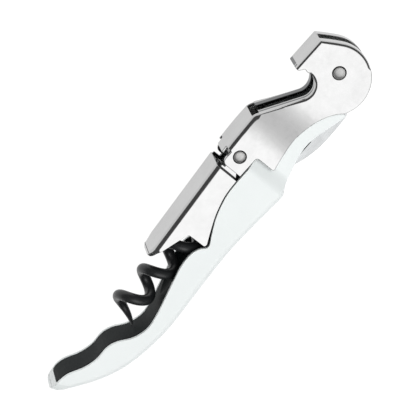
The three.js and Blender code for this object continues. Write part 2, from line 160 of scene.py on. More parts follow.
def prism(outline, half, bends=(), widths=None, segments=6):
    """An outline given a thickness; bends are (first, last, radius) index runs to round."""
    bm = bmesh.new()
    count = len(outline)
    low = [bm.verts.new((x, y, -half)) for x, y in outline]
    high = [bm.verts.new((x, y, half)) for x, y in outline]
    bm.faces.new(low[::-1])
    bm.faces.new(high)
    for i in range(count):
        j = (i + 1) % count
        bm.faces.new((low[i], low[j], high[j], high[i]))
    bmesh.ops.recalc_face_normals(bm, faces=bm.faces)
    runs = []
    for first, last, radius in bends:
        pairs = [(i, (i + 1) % count) for i in range(first, last)]
        bent = [bm.edges.get((side[i], side[j])) for side in (low, high) for i, j in pairs]
        runs.append((bent, radius))
    for bent, radius in runs:
        bmesh.ops.bevel(bm, geom=bent, offset=radius, offset_type="OFFSET",
                        segments=segments, profile=0.5, affect="EDGES", clamp_overlap=False)
    if widths:
        cuts = sorted(set(x for x, _ in widths))
        for x in cuts:
            geometry = bm.verts[:] + bm.edges[:] + bm.faces[:]
            bmesh.ops.bisect_plane(bm, geom=geometry, dist=1e-5, plane_co=(x, 0, 0),
                                   plane_no=(1, 0, 0))
        for v in bm.verts:
            if abs(v.co.z) > half / 2:
                lift = half_at(widths, v.co.x) - half
                v.co.z += lift if v.co.z > 0 else -lift
    bmesh.ops.triangulate(bm, faces=[f for f in bm.faces if len(f.verts) > 4])
    return object_of(bm, "blank")


def block(x0, x1, y0, y1, z0, z1):
    """A box to cut with."""
    bm = bmesh.new()
    bmesh.ops.create_cube(bm, size=1.0)
    bmesh.ops.scale(bm, vec=(x1 - x0, y1 - y0, z1 - z0), verts=bm.verts)
    bmesh.ops.translate(bm, vec=((x0 + x1) / 2, (y0 + y1) / 2, (z0 + z1) / 2), verts=bm.verts)
    return object_of(bm, "cutter")


def drill(at, radius, z0, z1, sides=48):
    """A round bar across the tool, to cut with."""
    bm = bmesh.new()
    bmesh.ops.create_cone(bm, cap_ends=True, segments=sides, radius1=radius, radius2=radius,
                          depth=z1 - z0)
    bmesh.ops.translate(bm, vec=(at[0], at[1], (z0 + z1) / 2), verts=bm.verts)
    return object_of(bm, "cutter")


def bake(made):
    """Applies the modifiers and returns the object with a plain mesh."""
    graph = bpy.context.evaluated_depsgraph_get()
    mesh = bpy.data.meshes.new_from_object(made.evaluated_get(graph))
    made.modifiers.clear()
    made.data = mesh
    return made


def cut(body, *cutters, operation="DIFFERENCE"):
    """Takes each cutter out of the body, or joins it on, and removes the cutter."""
    for cutter in cutters:
        step = body.modifiers.new("cut", "BOOLEAN")
        step.operation = operation
        step.solver = "EXACT"
        step.object = cutter
        bake(body)
        bpy.data.objects.remove(cutter)


def ease_edges(made, width, segments=2, angle=38.0):
    """Breaks the sharp edges, as tumbling does, and holds the piece to the box it had before."""
    bm = bmesh.new()
    bm.from_mesh(made.data)
    bmesh.ops.remove_doubles(bm, verts=bm.verts, dist=MERGE)
    bmesh.ops.dissolve_degenerate(bm, edges=bm.edges, dist=MERGE)
    bmesh.ops.dissolve_limit(bm, angle_limit=FLAT, verts=bm.verts, edges=bm.edges)
    low = [min(v.co[k] for v in bm.verts) for k in range(3)]
    high = [max(v.co[k] for v in bm.verts) for k in range(3)]
    bm.to_mesh(made.data)
    bm.free()
    step = made.modifiers.new("edges", "BEVEL")
    step.limit_method = "ANGLE"
    step.angle_limit = math.radians(angle)
    step.width = width
    step.segments = segments
    step.use_clamp_overlap = False
    step.miter_outer = "MITER_ARC"
    bake(made)
    for v in made.data.vertices:
        v.co = [min(max(v.co[k], low[k]), high[k]) for k in range(3)]


def place(made, name, body, material, slot_name, *nodes, flat_angle=32.0):
    """Moves a millimetre mesh to its place in the frame and hands it over."""
    made.data.transform(Matrix.Translation(PIVOT) @ Matrix.Scale(MM, 4))
    made.name = name
    made.data.name = name
    made.data.materials.clear()
    made.data.materials.append(material)
    made.data.shade_smooth()
    made.data.set_sharp_from_angle(angle=math.radians(flat_angle))
    flats = made.modifiers.new("flats", "WEIGHTED_NORMAL")
    flats.weight = 50
    flats.keep_sharp = True
    bake(made)
    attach(made, body)
    if nodes:
        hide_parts(*nodes)
    print(name, "has", len(made.data.polygons), "faces")


# %% [markdown]
# ## Finishes
# Every finish is a node material that reads Object coordinates, so a pattern has a real size in
# metres on each piece. The white coat has a faint orange peel, the plating has fine polishing lines
# and a slightly uneven gloss, and the black coats are broken up by a fine grain. The plating also
# has a painted reflection: it is coloured dark on the slope, in the throat and inside the knuckle,
# from every side and in any light, standing in for the dark surroundings it mirrors there.

# %% Finish helpers
def new_material(name):
    material = bpy.data.materials.new(name)
    material.use_nodes = True
    nodes = material.node_tree.nodes
    return material, nodes, material.node_tree.links, nodes["Principled BSDF"]


def connect(links, source, socket):
    """Gives a socket a number, or links it to another node's output."""
    if isinstance(source, (int, float)):
        socket.default_value = source
    else:
        links.new(source, socket)


def math_node(nodes, links, operation, *values):
    node = nodes.new("ShaderNodeMath")
    node.operation = operation
    for socket, value in zip(node.inputs, values):
        connect(links, value, socket)
    return node.outputs[0]


def map_range(nodes, links, value, start, end, low=0.0, high=1.0, soft=True):
    """The value carried from start..end to low..high, along a soft S or a straight line."""
    node = nodes.new("ShaderNodeMapRange")
    node.interpolation_type = "SMOOTHSTEP" if soft else "LINEAR"
    for key, source in (("Value", value), ("From Min", start), ("From Max", end),
                        ("To Min", low), ("To Max", high)):
        connect(links, source, node.inputs[key])
    return node.outputs["Result"]


def object_vector(nodes, links, scale=(1.0, 1.0, 1.0)):
    source = nodes.new("ShaderNodeTexCoord")
    mapping = nodes.new("ShaderNodeMapping")
    mapping.inputs["Scale"].default_value = scale
    links.new(source.outputs["Object"], mapping.inputs["Vector"])
    return mapping.outputs["Vector"]


def noise(nodes, links, vector, scale, detail=3.0, roughness=0.55):
    node = nodes.new("ShaderNodeTexNoise")
    node.inputs["Scale"].default_value = scale
    node.inputs["Detail"].default_value = detail
    node.inputs["Roughness"].default_value = roughness
    links.new(vector, node.inputs["Vector"])
    return node.outputs["Fac"]


def spread(nodes, links, value, low, high):
    """The middle half of a noise, spread from low to high."""
    return map_range(nodes, links, value, 0.25, 0.75, low, high, soft=False)


def tint(nodes, links, value, dark, light):
    ramp = nodes.new("ShaderNodeValToRGB")
    ramp.color_ramp.elements[0].position = 0.3
    ramp.color_ramp.elements[1].position = 0.7
    ramp.color_ramp.elements[0].color = (*dark, 1)
    ramp.color_ramp.elements[1].color = (*light, 1)
    links.new(value, ramp.inputs["Fac"])
    return ramp.outputs["Color"]


def bump(nodes, links, height, strength, distance):
    node = nodes.new("ShaderNodeBump")
    node.inputs["Strength"].default_value = strength
    node.inputs["Distance"].default_value = distance
    links.new(height, node.inputs["Height"])
    return node.outputs["Normal"]


# %% White coat of the handle
def white_coat():
    material, nodes, links, shader = new_material("white_coat")
    vector = object_vector(nodes, links)
    cloud = noise(nodes, links, vector, 60.0, 2.0)
    peel = noise(nodes, links, vector, 2600.0, 2.0)
    links.new(tint(nodes, links, cloud, (0.855, 0.895, 0.89), (0.88, 0.92, 0.915)),
              shader.inputs["Base Color"])
    links.new(spread(nodes, links, noise(nodes, links, vector, 420.0), 0.30, 0.42),
              shader.inputs["Roughness"])
    links.new(bump(nodes, links, peel, 0.10, 0.00003), shader.inputs["Normal"])
    shader.inputs["Coat Weight"].default_value = 0.25
    shader.inputs["Coat Roughness"].default_value = 0.12
    return material


WHITE_COAT = white_coat()


# %% Bright plating of the levers
ZONE_EDGE = 0.05  # half the width of a painted zone's soft edge
# Painted reflection: the colour of the slope, the throat and the inside of the knuckle, darker than
# the plating, standing in for the dark surroundings the plating mirrors there
PAINTED_REFLECTION_DARK = (0.10, 0.103, 0.106, 1)


def bright_plating():
    material, nodes, links, shader = new_material("bright_plating")
    vector = object_vector(nodes, links)
    along = object_vector(nodes, links, (0.05, 1.0, 1.0))
    cloud = noise(nodes, links, vector, 130.0, 3.0)
    lines = noise(nodes, links, along, 5200.0, 3.0)
    position = nodes.new("ShaderNodeSeparateXYZ")
    links.new(vector, position.inputs[0])

    def zone(axis, low, high):
        """One from low to high, in millimetres from the head rivet, and nothing outside."""
        centre = PIVOT["XYZ".index(axis)]
        rise, fall = (map_range(nodes, links, position.outputs[axis],
                                centre + edge * MM - ZONE_EDGE * MM,
                                centre + edge * MM + ZONE_EDGE * MM) for edge in (low, high))
        return math_node(nodes, links, "SUBTRACT", rise, fall)

    # Mask of the painted reflection: where the plating is coloured dark instead of mirroring its
    # surroundings
    walls = math_node(nodes, links, "ADD", zone("Z", -4.0, 2.1), zone("Z", 2.6, 3.5))
    slope = math_node(nodes, links, "MULTIPLY", zone("X", -21.9, -5.4), walls)
    knuckle = math_node(nodes, links, "MULTIPLY", zone("X", -38.3, -35.4), zone("Z", -4.9, 4.6))
    bright = tint(nodes, links, cloud, (0.46, 0.46, 0.46), (0.495, 0.495, 0.495))
    blend = nodes.new("ShaderNodeMix")
    blend.data_type = "RGBA"
    links.new(math_node(nodes, links, "ADD", slope, knuckle), blend.inputs["Factor"])
    links.new(bright, blend.inputs["A"])
    blend.inputs["B"].default_value = PAINTED_REFLECTION_DARK
    links.new(blend.outputs["Result"], shader.inputs["Base Color"])
    links.new(spread(nodes, links, noise(nodes, links, vector, 700.0), 0.13, 0.22),
              shader.inputs["Roughness"])
    links.new(bump(nodes, links, lines, 0.05, 0.00002), shader.inputs["Normal"])
    shader.inputs["Metallic"].default_value = 1.0
    return material


BRIGHT_PLATING = bright_plating()


# %% Plain and ground steel
def plain_steel(name, colour, low, high, line_scale):
    material, nodes, links, shader = new_material(name)
    vector = object_vector(nodes, links)
    lines = noise(nodes, links, object_vector(nodes, links, (0.08, 1.0, 1.0)), line_scale, 4.0)
    darker = tuple(0.86 * c for c in colour)
    links.new(tint(nodes, links, noise(nodes, links, vector, 300.0), darker, colour),
              shader.inputs["Base Color"])
    links.new(spread(nodes, links, lines, low, high), shader.inputs["Roughness"])
    links.new(bump(nodes, links, lines, 0.12, 0.00003), shader.inputs["Normal"])
    shader.inputs["Metallic"].default_value = 1.0
    return material


RIVET_STEEL = plain_steel("rivet_steel", (0.43, 0.43, 0.425), 0.30, 0.42, 3000.0)
BLADE_STEEL = plain_steel("ground_blade", (0.455, 0.465, 0.47), 0.22, 0.34, 4200.0)


# %% Black coat, black plastic and nylon
def dull_coat(name, dark, light, low, high, grain, strength, specular=0.5):
    material, nodes, links, shader = new_material(name)
    vector = object_vector(nodes, links)
    texture = noise(nodes, links, vector, grain, 4.0, 0.6)
    links.new(tint(nodes, links, noise(nodes, links, vector, 180.0), dark, light),
              shader.inputs["Base Color"])
    links.new(spread(nodes, links, texture, low, high), shader.inputs["Roughness"])
    links.new(bump(nodes, links, texture, strength, 0.00004), shader.inputs["Normal"])
    shader.inputs["Specular IOR Level"].default_value = specular
    return material


WORM_COAT = dull_coat("worm_black", (0.011, 0.012, 0.013), (0.017, 0.018, 0.019), 0.30, 0.44,
                      2400.0, 0.10)
LINER_PLASTIC = dull_coat("grip_black", (0.004, 0.0075, 0.008), (0.007, 0.011, 0.0115), 0.50,
                          0.64, 3200.0, 0.25, specular=0.10)
NYLON = dull_coat("white_nylon", (0.62, 0.61, 0.55), (0.70, 0.69, 0.64), 0.5, 0.65, 1500.0, 0.2)
print("finishes:", ", ".join(m.name for m in bpy.data.materials if m.use_nodes))

# %% [markdown]
# ## The handle
# The handle is one strip of sheet steel folded into a channel, with a wavy front edge for the
# fingers and a narrow head that is pressed in between the levers. A prism of the side outline with
# its closed edge bevelled makes the folded back, and a second prism is cut out to leave the walls.

# %% Handle outline
TAIL_X = -113.3
CAP_INSIDE_X = -110.5
SPINE_END_X = -32.4
HANDLE_FRONT = smooth(
    [(-38.6, 1.25), (-42.8, 0.9), (-46.7, -0.1), (-50.0, -1.35), (-53.6, -3.3), (-56.6, -4.9),
     (-58.6, -3.4), (-61.5, -2.6), (-66.0, -3.1), (-74.6, -5.6), (-79.6, -7.0), (-83.8, -7.6),
     (-88.0, -6.4), (-91.6, -3.8), (-94.6, -2.75), (-98.6, -2.8), (-102.4, -1.8), (-106.4, 0.3),
     (-109.2, 0.9)], 90)
HANDLE_BACK = smooth(
    [(-112.0, -1.7), (-109.4, -3.1), (-106.2, -5.3), (-102.6, -7.6), (-98.8, -9.4),
     (-94.0, -11.0), (-87.0, -12.1), (-80.0, -12.4), (-72.0, -11.8), (-62.7, -11.0),
     (-53.6, -10.5), (-43.7, -10.8), (-35.0, -11.3)], 60)
HEAD_BACK = smooth([(-31.6, -9.9), (-28.0, -8.9), (-24.7, -7.9), (-20.5, -7.2), (-16.5, -7.6),
                    (-11.5, -9.0), (-7.6, -9.8)], 24)
HANDLE_WIDTHS = [(TAIL_X, 2.0), (-113.0, 3.0), (-112.2, 4.3), (-110.9, 5.4), (-108.9, WIDE),
                 *eased(-34.6, WIDE, -29.4, HANDLE_HEAD, 12), (THROUGH, HANDLE_HEAD)]
NOSE_RADIUS = 4.8
NOTCH = (-7.5, -4.1)


def handle_outline():
    line = [(TAIL_X, -0.2), *quadratic((TAIL_X, -0.2), (TAIL_X + 0.1, -1.2), HANDLE_BACK[0], 5)]
    line += HANDLE_BACK[1:]
    line += quadratic(HANDLE_BACK[-1], (-33.0, -11.4), (SPINE_END_X, -10.2), 5)
    back_end = len(line) - 1
    line += HEAD_BACK + [NOTCH]
    turn = -math.pi - math.asin(NOTCH[1] / NOSE_RADIUS)
    line += arc((0, 0), NOSE_RADIUS, turn, 0.82 * math.pi, 40)
    line += [(-8.0, -1.2), (-13.0, -1.0), (-22.5, 1.25), (-33.8, 1.25)]
    line += HANDLE_FRONT
    line += [(CAP_INSIDE_X, 0.8), *quadratic((CAP_INSIDE_X, 0.8), (-113.0, 1.2), (TAIL_X, 0.3), 5)]
    return line, back_end


outline, back_end = handle_outline()
print("handle outline:", len(outline), "points")

# %% [markdown]
# The closed edge is rounded first, on the plain prism, and the thickness is pressed in afterwards:
# the walls are cut at many places along X and moved in or out, so the step towards the head is a
# soft S as on the pressed sheet. The hollow gets the same treatment, one sheet thickness smaller.

# %% Handle shell
BACK_BEND = 1.7
PIN_BORE = 1.2


def handle_hollow():
    spine = [p for p in moved(HANDLE_BACK, SHEET) if CAP_INSIDE_X < p[0] < SPINE_END_X]
    line = [(CAP_INSIDE_X, THROUGH), (CAP_INSIDE_X, spine[0][1]), *spine,
            (SPINE_END_X, -10.3), (SPINE_END_X, -THROUGH), (THROUGH, -THROUGH),
            (THROUGH, THROUGH)]
    widths = [(x, h - SHEET) for x, h in HANDLE_WIDTHS]
    return prism(line, WIDE - SHEET, [(0, len(spine) + 1, BACK_BEND - SHEET)], widths, 4)


handle = prism(outline, WIDE, [(0, back_end, BACK_BEND)], HANDLE_WIDTHS, 8)
cut(handle, handle_hollow(), drill(HEAD_RIVET, HEAD_BORE, -THROUGH, THROUGH),
    drill(WORM_PIN, PIN_BORE, -THROUGH, THROUGH))
ease_edges(handle, 0.16)
place(handle, "white_handle", "handle", WHITE_COAT, "handle_coat", "handle_shell")

# %% [markdown]
# ## The first lever
# The lever nearest the head is stamped from one sheet too. Its web runs round the head, forms the
# beak and the throat that lift a crown cap, climbs the slotted slope and ends as the plate above
# the knuckle. All those edges are bends: wide along the plate, and tight round the head and up the
# slope. They are rounded here before the hollow, the slot and the rivet holes are cut.

# %% First lever outline
HEAD_CENTRE = (-2.1, -0.3)
HEAD_RADIUS = 9.75
HEAD_FROM, HEAD_TO, HEAD_STEPS = -2.14, 0.5, 46
WEB_FROM = -0.63  # where the web starts on the head's arc
THROAT = (-8.9, 5.6)
THROAT_RADIUS = 3.9
SLOPE = math.radians(32.5)
THROAT_END = -math.pi / 2 - SLOPE
SLOPE_TOP_X = -20.8
FOOT_X = -30.4
PLATE_END_X = -35.3
FORK_END_X = -37.0
LEVER_WIDTHS = [(-60.0, WIDE), *eased(-29.0, WIDE, -11.0, LEVER_HEAD, 14), (THROUGH, LEVER_HEAD)]
SLOT_HALF = 1.9
BEND = 1.35
TIGHT_BEND = 0.75


def first_lever_outline():
    foot_of_slope = (THROAT[0] - THROAT_RADIUS * math.sin(SLOPE),
                     THROAT[1] - THROAT_RADIUS * math.cos(SLOPE))
    top = (SLOPE_TOP_X,
           foot_of_slope[1] + (foot_of_slope[0] - SLOPE_TOP_X) * math.tan(SLOPE))
    line = [(-6.4, 9.6), (-6.25, 8.6), (-4.9, 7.6)]
    throat_start = len(line)
    line += arc(THROAT, THROAT_RADIUS, 0.28, THROAT_END, 20)
    line.append(top)
    slope_end = len(line) - 1
    line += quadratic(top, (-21.7, 9.5), (-23.0, 9.7), 5)
    line += quadratic((-23.0, 9.7), (-30.0, 9.6), (PLATE_END_X, 9.1), 6)
    plate_end = len(line) - 1
    line.append((PLATE_END_X, 8.0))
    line += quadratic(line[-1], (FORK_END_X, 8.0), (FORK_END_X, 6.4), 6)
    line += [(FORK_END_X, 1.6), (FOOT_X - 0.8, 1.6)]
    line += quadratic((FOOT_X - 0.8, 1.6), (FOOT_X, 1.6), (FOOT_X, 0.8), 4)
    line += [(FOOT_X, -3.7), *quadratic((FOOT_X, -3.7), (FOOT_X, -4.3), (FOOT_X + 0.6, -4.2), 4)]
    line += quadratic((FOOT_X + 0.6, -4.2), (-24.5, -3.0), (-20.5, -2.9), 6)
    around = arc(HEAD_CENTRE, HEAD_RADIUS, HEAD_FROM, HEAD_TO, HEAD_STEPS)
    line += quadratic((-20.5, -2.9), (-11.0, -4.0), around[0], 10)
    web_start = len(line) + int(HEAD_STEPS * (WEB_FROM - HEAD_FROM) / (HEAD_TO - HEAD_FROM))
    line += around[1:]
    line += quadratic(around[-1], (5.2, 6.7), (3.3, 9.6), 8)
    return line, [(throat_start + 1, slope_end, TIGHT_BEND), (slope_end + 1, plate_end, BEND),
                  (web_start, len(line), TIGHT_BEND)]


def first_lever_hollow():
    inner = THROAT_RADIUS + SHEET
    line = [(-60.0, -THROUGH), (THROUGH, -THROUGH)]
    line.append((HEAD_CENTRE[0] + THROUGH * math.cos(WEB_FROM),
                 HEAD_CENTRE[1] + THROUGH * math.sin(WEB_FROM)))
    start = len(line)
    line += arc(HEAD_CENTRE, HEAD_RADIUS - SHEET, WEB_FROM, HEAD_TO, 20)
    line += quadratic(line[-1], (4.3, 6.3), (2.7, 8.6), 6)
    line.append((-3.6, 8.6))
    line += arc(THROAT, inner, 0.5, THROAT_END, 20)
    line += [(-21.5, 7.9), *quadratic((-21.5, 7.9), (-22.2, 8.75), (-23.2, 8.75), 4)]
    line += quadratic((-23.2, 8.75), (-30.0, 8.6), (PLATE_END_X, 8.1), 5)
    line.append((-60.0, 8.1))
    widths = [(x, h - SHEET) for x, h in LEVER_WIDTHS]
    return prism(line, WIDE - SHEET, [(start, len(line) - 1, BEND - SHEET)], widths, 3)


def rivet_hole(at, bore, seat_radius, wall_outside):
    """A bore through both walls, and a wider seat in each for a rivet's head."""
    seat = wall_outside - SEAT_DEPTH
    return [drill(at, bore, -THROUGH, THROUGH), drill(at, seat_radius, seat, THROUGH),
            drill(at, seat_radius, -THROUGH, -seat)]


def slots():
    """The slot through the beak, the throat and the slope, and the window above the slope."""
    return [block(3.3, THROUGH, -THROUGH, THROUGH, -SLOT_HALF, SLOT_HALF),
            block(-22.0, -3.0, 0, 8.5, -SLOT_HALF, SLOT_HALF),
            block(-22.0, -19.0, 0, THROUGH, -SLOT_HALF, SLOT_HALF),
            block(-23.0, -21.2, 0, THROUGH, -4.0, 4.0)]


def plate_notches():
    """The cuts at the end of the plate that let the second lever's ears swing past."""
    end = PLATE_END_X - 1
    return [block(end, -33.3, 8.0, THROUGH, 3.4, THROUGH),
            block(end, -34.2, 8.0, THROUGH, -THROUGH, -4.2),
            block(end, -33.3, 7.9, THROUGH, -(WIDE - SHEET), -3.4)]


# %% First lever
outline, bends = first_lever_outline()
first_lever = prism(outline, WIDE, bends, LEVER_WIDTHS, 8)
cut(first_lever, first_lever_hollow(), *slots(), *plate_notches(),
    *rivet_hole(HEAD_RIVET, HEAD_BORE, 1.78, LEVER_HEAD),
    *rivet_hole(KNUCKLE, KNUCKLE_BORE, 1.7, WIDE))
ease_edges(first_lever, 0.2, 3)
place(first_lever, "first_lever_plated", "lever", BRIGHT_PLATING, "lever_chrome", "first_lever")

# %% [markdown]
# ## The second lever
# The lower lever is the same kind of channel. Its web ends in a rounded, solid tongue below and
# stops at the knuckle above, where the side walls step inwards and run on as ears between the walls
# of the first lever.

# %% Second lever
LEVER_TOP_X = -38.4
NECK_X = -37.6
SECOND_END_X = -69.0
SECOND_FOOT_X = -57.3
EAR = 4.7
EAR_RADIUS = 2.6
SECOND_BEND = 1.6
SECOND_HOLLOW_END_X = -66.4
SECOND_WIDTHS = [(SECOND_END_X, 1.5), (-68.9, 2.4), (-68.6, 3.3), (-68.1, 4.1), (-67.4, 4.8),
                 (-66.6, 5.35), (-65.8, 5.75), (-64.8, WIDE), *eased(-38.45, WIDE, -38.2, EAR, 3),
                 (THROUGH, EAR)]


def second_lever_outline():
    line = [(NECK_X, 8.4), (LEVER_TOP_X, 8.45), (-66.0, 5.76), (-67.8, 5.58)]
    bend_end = len(line) - 1
    line += quadratic((-67.8, 5.58), (-68.8, 5.48), (SECOND_END_X, 5.0), 4)
    line += [(SECOND_END_X, 4.6), (-68.7, 4.4), (-66.6, 4.2), (-58.2, 1.75)]
    line += quadratic((-58.2, 1.75), (SECOND_FOOT_X, 1.5), (SECOND_FOOT_X, 0.9), 4)
    line += [(-57.2, -3.7), *quadratic((-57.2, -3.7), (-57.0, -4.3), (-56.2, -4.1), 4)]
    line += smooth([(-56.2, -4.1), (-54.0, -2.95), (-50.0, -1.0), (-46.7, 0.25), (-42.8, 1.25),
                    (LEVER_TOP_X, 1.6)], 20)[1:]
    line.append((-36.4, 3.0))
    line += arc(KNUCKLE, EAR_RADIUS, -0.8 * math.pi, 0.9 * math.pi, 26)
    line.append((NECK_X, 6.1))
    return line, [(0, bend_end, SECOND_BEND)]


def second_lever_hollow():
    line = [(LEVER_TOP_X + 0.2, THROUGH), (LEVER_TOP_X + 0.2, 7.5), (SECOND_HOLLOW_END_X, 4.7),
            (SECOND_HOLLOW_END_X, -THROUGH), (THROUGH, -THROUGH), (THROUGH, THROUGH)]
    widths = [(x, h - SHEET) for x, h in SECOND_WIDTHS]
    return prism(line, WIDE - SHEET, [(1, 2, BEND - SHEET)], widths, 3)


outline, bends = second_lever_outline()
second_lever = prism(outline, WIDE, bends, SECOND_WIDTHS, 8)
cut(second_lever, second_lever_hollow(), drill(KNUCKLE, KNUCKLE_BORE, -THROUGH, THROUGH))
ease_edges(second_lever, 0.12)
place(second_lever, "second_lever_plated", "lever_arm", BRIGHT_PLATING, "lever_chrome",
      "second_lever")

# %% [markdown]
# ## The worm
# The worm is wire wound round a rod, so it follows a rule: Geometry Nodes bend a straight line of
# points into a right-handed coil, thin the wire towards its point and sweep a circle along it. The
# straight shank and the eye sit between the walls of the handle.

# %% Node tree helpers
class Tree:
    """A small helper to write a node tree in the order it is read."""

    def __init__(self, name, inputs):
        self.group = bpy.data.node_groups.new(name, "GeometryNodeTree")
        face = self.group.interface
        face.new_socket("Geometry", in_out="INPUT", socket_type="NodeSocketGeometry")
        face.new_socket("Geometry", in_out="OUTPUT", socket_type="NodeSocketGeometry")
        for label, (kind, value) in inputs.items():
            socket = face.new_socket(label, in_out="INPUT", socket_type=kind)
            if value is not None:
                socket.default_value = value
        self.enter = self.group.nodes.new("NodeGroupInput")
        self.leave = self.group.nodes.new("NodeGroupOutput")

    def node(self, kind, links=None, **settings):
        made = self.group.nodes.new(kind)
        for key, value in settings.items():
            setattr(made, key, value)
        for key, source in (links or {}).items():
            if isinstance(source, (int, float, bool, tuple)):
                made.inputs[key].default_value = source
            else:
                self.group.links.new(source, made.inputs[key])
        return made

    def math(self, operation, *values):
        return math_node(self.group.nodes, self.group.links, operation, *values)

    def eased(self, value, start, end):
        return map_range(self.group.nodes, self.group.links, value, start, end)

    def finish(self, geometry):
        self.group.links.new(geometry, self.leave.inputs["Geometry"])
        return self.group


def grow(tree_group, name, settings, base=None):
    """Runs a node tree on an object and returns the result as a plain mesh object."""
    mesh = base if base is not None else bpy.data.meshes.new(name)
    made = bpy.data.objects.new(name, mesh)
    bpy.context.scene.collection.objects.link(made)
    step = made.modifiers.new("nodes", "NODES")
    step.node_group = tree_group
    for item in tree_group.interface.items_tree:
        if item.in_out == "INPUT" and item.name in settings:
            step[item.identifier] = settings[item.name]
    return bake(made)


# %% Worm nodes
WIRE = 1.45
EYE_RADIUS = 3.0
EYE_BORE = 1.18


def worm_tree():
    number = "NodeSocketFloat"
    tree = Tree("wound_worm", {
        "Shank start": (number, -29.9), "Tip": (number, -87.0), "Coil start": (number, -40.5),
        "Last crest": (number, -82.3), "Pitch": (number, 9.4), "Coil radius": (number, 3.15),
        "Flare": (number, 1.9), "Wire radius": (number, WIRE),
        "Shank height": (number, WORM_PIN[1]),
        "Axis height": (number, -0.85), "Taper length": (number, 4.6),
        "Material": ("NodeSocketMaterial", None),
    })
    given = tree.enter.outputs
    line = tree.node("GeometryNodeCurvePrimitiveLine")
    points = tree.node("GeometryNodeResampleCurve", {"Curve": line.outputs[0], "Count": 900})
    along = tree.node("GeometryNodeSplineParameter").outputs["Factor"]
    run = tree.math("SUBTRACT", given["Tip"], given["Shank start"])
    x = tree.math("ADD", given["Shank start"], tree.math("MULTIPLY", run, along))
    before = tree.math("SUBTRACT", given["Coil start"], x)
    widening = tree.eased(before, -3.0, 4.6)
    past = tree.math("SUBTRACT", given["Last crest"], x)
    turn = tree.math("MULTIPLY", tree.math("DIVIDE", past, given["Pitch"]), 2 * math.pi)
    flare_end = tree.math("SUBTRACT", given["Last crest"], given["Tip"])
    flare = tree.math("MULTIPLY", given["Flare"], tree.eased(past, 0.0, flare_end))
    radius = tree.math("ADD", tree.math("MULTIPLY", given["Coil radius"], widening), flare)
    rise = tree.math("SUBTRACT", given["Axis height"], given["Shank height"])
    middle = tree.math("ADD", given["Shank height"], tree.math("MULTIPLY", rise, widening))
    y = tree.math("ADD", middle, tree.math("MULTIPLY", radius, tree.math("COSINE", turn)))
    z = tree.math("MULTIPLY", tree.math("MULTIPLY", radius, tree.math("SINE", turn)), -1.0)
    position = tree.node("ShaderNodeCombineXYZ", {"X": x, "Y": y, "Z": z})
    bent = tree.node("GeometryNodeSetPosition",
                     {"Geometry": points.outputs[0], "Position": position.outputs[0]})
    left = tree.math("SUBTRACT", x, given["Tip"])
    share = tree.math("MINIMUM", tree.math("DIVIDE", left, given["Taper length"]), 1.0)
    thin = tree.math("MAXIMUM", tree.math("POWER", tree.math("MAXIMUM", share, 0.0), 0.65), 0.14)
    sized = tree.node("GeometryNodeSetCurveRadius",
                      {"Curve": bent.outputs[0], "Radius": thin})
    circle = tree.node("GeometryNodeCurvePrimitiveCircle",
                       {"Resolution": 20, "Radius": given["Wire radius"]})
    sweep = {"Curve": sized.outputs[0], "Profile Curve": circle.outputs[0], "Fill Caps": True}
    swept = tree.node("GeometryNodeCurveToMesh", sweep)
    tree.group.links.new(thin, swept.inputs["Scale"])
    real = tree.node("GeometryNodeRealizeInstances", {"Geometry": swept.outputs[0]})
    painted = tree.node("GeometryNodeSetMaterial",
                        {"Geometry": real.outputs[0], "Material": given["Material"]})
    return tree.finish(painted.outputs[0])


# %% Worm
worm = grow(worm_tree(), "worm_wire", {"Material": WORM_COAT})
print("wire:", len(worm.data.vertices), "vertices")
cut(worm, drill(WORM_PIN, EYE_RADIUS, -WIRE, WIRE, 64), operation="UNION")
cut(worm, drill(WORM_PIN, EYE_BORE, -THROUGH, THROUGH))
place(worm, "black_worm", "worm", WORM_COAT, "worm_coat", "worm", flat_angle=50.0)

# %% [markdown]
# ## Rivets
# Both rivets are the same idea: a shank that ends in two formed heads, each a shallow dish. One
# head is turned as a lathe profile, and Geometry Nodes set a copy on each end of the shank.

# %% Rivet nodes
def rivet_head_mesh(radius, proud, sink):
    """A formed head, turned from its profile; z = 0 is the outside of the wall."""
    profile = [(0.0, proud - 0.16), (0.85, proud - 0.16), (1.2, proud - 0.08),
               (radius - 0.15, proud), (radius - 0.04, proud - 0.04), (radius, proud - 0.15),
               (radius, -sink), (0.0, -sink)]
    bm = bmesh.new()
    verts = [bm.verts.new((r, 0, z)) for r, z in profile]
    edges = [bm.edges.new(pair) for pair in zip(verts, verts[1:])]
    bmesh.ops.spin(bm, geom=verts + edges, cent=(0, 0, 0), axis=(0, 0, 1), angle=2 * math.pi,
                   steps=56, use_duplicate=False)
    bmesh.ops.remove_doubles(bm, verts=bm.verts, dist=1e-4)
    bmesh.ops.recalc_face_normals(bm, faces=bm.faces)
    mesh = bpy.data.meshes.new("rivet_head")
    bm.to_mesh(mesh)
    bm.free()
    return mesh


